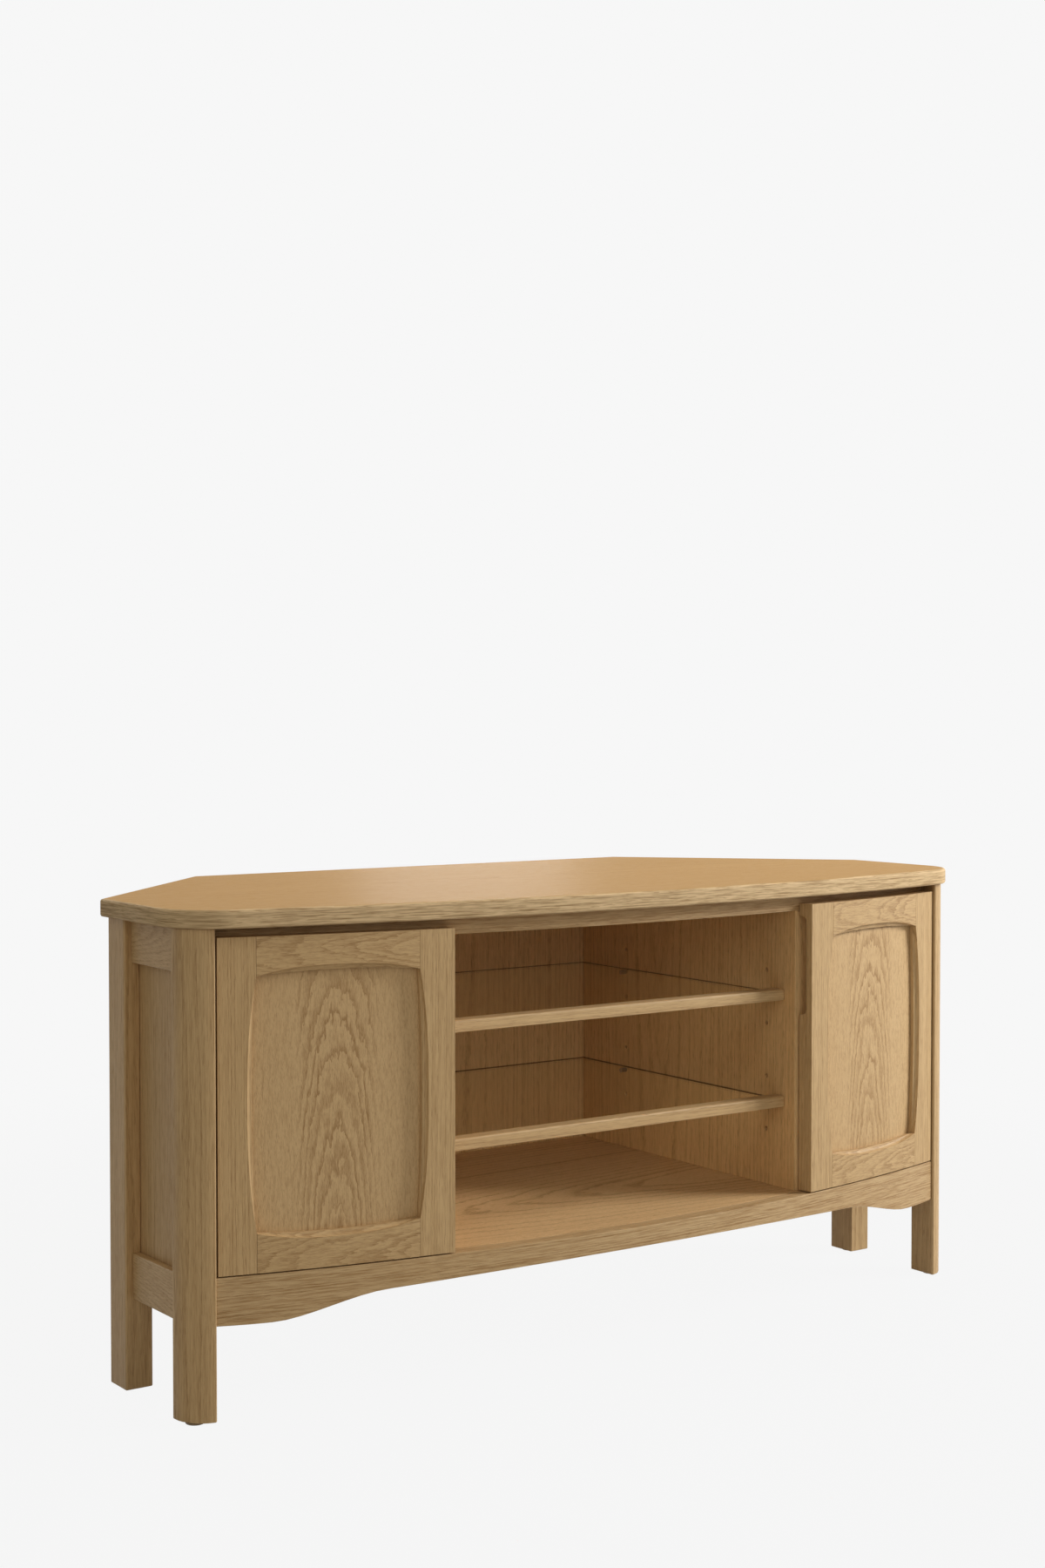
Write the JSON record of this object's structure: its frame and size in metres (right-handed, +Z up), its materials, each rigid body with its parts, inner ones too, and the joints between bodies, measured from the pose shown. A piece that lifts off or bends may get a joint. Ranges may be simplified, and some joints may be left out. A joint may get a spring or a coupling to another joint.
{
  "type": "corner tv cabinet",
  "caption": "Low bow-fronted oak corner cabinet for a television, with cut back corners, an open bay with glass shelves and a bowed framed door each side.",
  "frame": {"origin": "on the floor, under the middle of the cabinet's outline in plan", "axes": "+X along the front to the right as seen from the front, +Y from the bowed front to the room corner behind, +Z up"},
  "size_m": [1.094, 0.493, 0.52],
  "materials": {
    "oak_top": "satin lacquered oak, grain along the front",
    "oak_frame": "satin lacquered oak, grain along each member",
    "oak_panel": "satin lacquered crown-cut oak",
    "oak_inside": "satin lacquered oak veneer",
    "back_board": "thin oak-veneered board",
    "shelf_glass": "polished bronze-tinted glass",
    "pin_steel": "plated steel",
    "hinge_steel": "nickel-plated pressed steel",
    "glide_plastic": "dark moulded plastic"
  },
  "bodies": {
    "carcass": {"top_board": "oak_top", "right_front_post": "oak_frame", "left_front_post": "oak_frame", "right_side_post": "oak_frame", "left_side_post": "oak_frame", "right_back_post": "oak_frame", "left_back_post": "oak_frame", "right_front_glide": "glide_plastic", "left_front_glide": "glide_plastic", "right_side_glide": "glide_plastic", "left_side_glide": "glide_plastic", "right_back_glide": "glide_plastic", "left_back_glide": "glide_plastic", "right_side_top_rail": "oak_frame", "left_side_top_rail": "oak_frame", "right_side_bottom_rail": "oak_frame", "left_side_bottom_rail": "oak_frame", "right_side_panel": "oak_panel", "left_side_panel": "oak_panel", "front_apron": "oak_frame", "front_top_rail": "oak_inside", "right_back_panel": "back_board", "left_back_panel": "back_board", "centre_back_panel": "back_board", "floor_panel": "oak_inside", "right_partition": "oak_inside", "left_partition": "oak_inside", "right_hinge_batten": "oak_inside", "left_hinge_batten": "oak_inside", "upper_shelf_glass": "shelf_glass", "lower_shelf_glass": "shelf_glass", "upper_shelf_lip": "oak_frame", "lower_shelf_lip": "oak_frame", "right_upper_front_shelf_pin": "pin_steel", "left_upper_front_shelf_pin": "pin_steel", "right_upper_rear_shelf_pin": "pin_steel", "left_upper_rear_shelf_pin": "pin_steel", "right_lower_front_shelf_pin": "pin_steel", "left_lower_front_shelf_pin": "pin_steel", "right_lower_rear_shelf_pin": "pin_steel", "left_lower_rear_shelf_pin": "pin_steel", "right_upper_hinge_arm": "hinge_steel", "right_lower_hinge_arm": "hinge_steel", "left_upper_hinge_arm": "hinge_steel", "left_lower_hinge_arm": "hinge_steel"},
    "right_door": {"right_door_outer_stile": "oak_frame", "right_door_inner_stile": "oak_frame", "right_door_top_rail": "oak_frame", "right_door_bottom_rail": "oak_frame", "right_door_panel": "oak_panel", "right_door_upper_hinge_cup": "hinge_steel", "right_door_lower_hinge_cup": "hinge_steel"},
    "left_door": {"left_door_outer_stile": "oak_frame", "left_door_inner_stile": "oak_frame", "left_door_top_rail": "oak_frame", "left_door_bottom_rail": "oak_frame", "left_door_panel": "oak_panel", "left_door_upper_hinge_cup": "hinge_steel", "left_door_lower_hinge_cup": "hinge_steel"}
  },
  "joints": [
    {"name": "right_door_hinge", "type": "hinge", "parent": "carcass", "child": "right_door", "pos_m": [0.5035, -0.1776, 0.32], "axis": [0, 0, 1], "range_deg": [0, 95]},
    {"name": "left_door_hinge", "type": "hinge", "parent": "carcass", "child": "left_door", "pos_m": [-0.5035, -0.1776, 0.32], "axis": [0, 0, -1], "range_deg": [0, 95]}
  ]
}
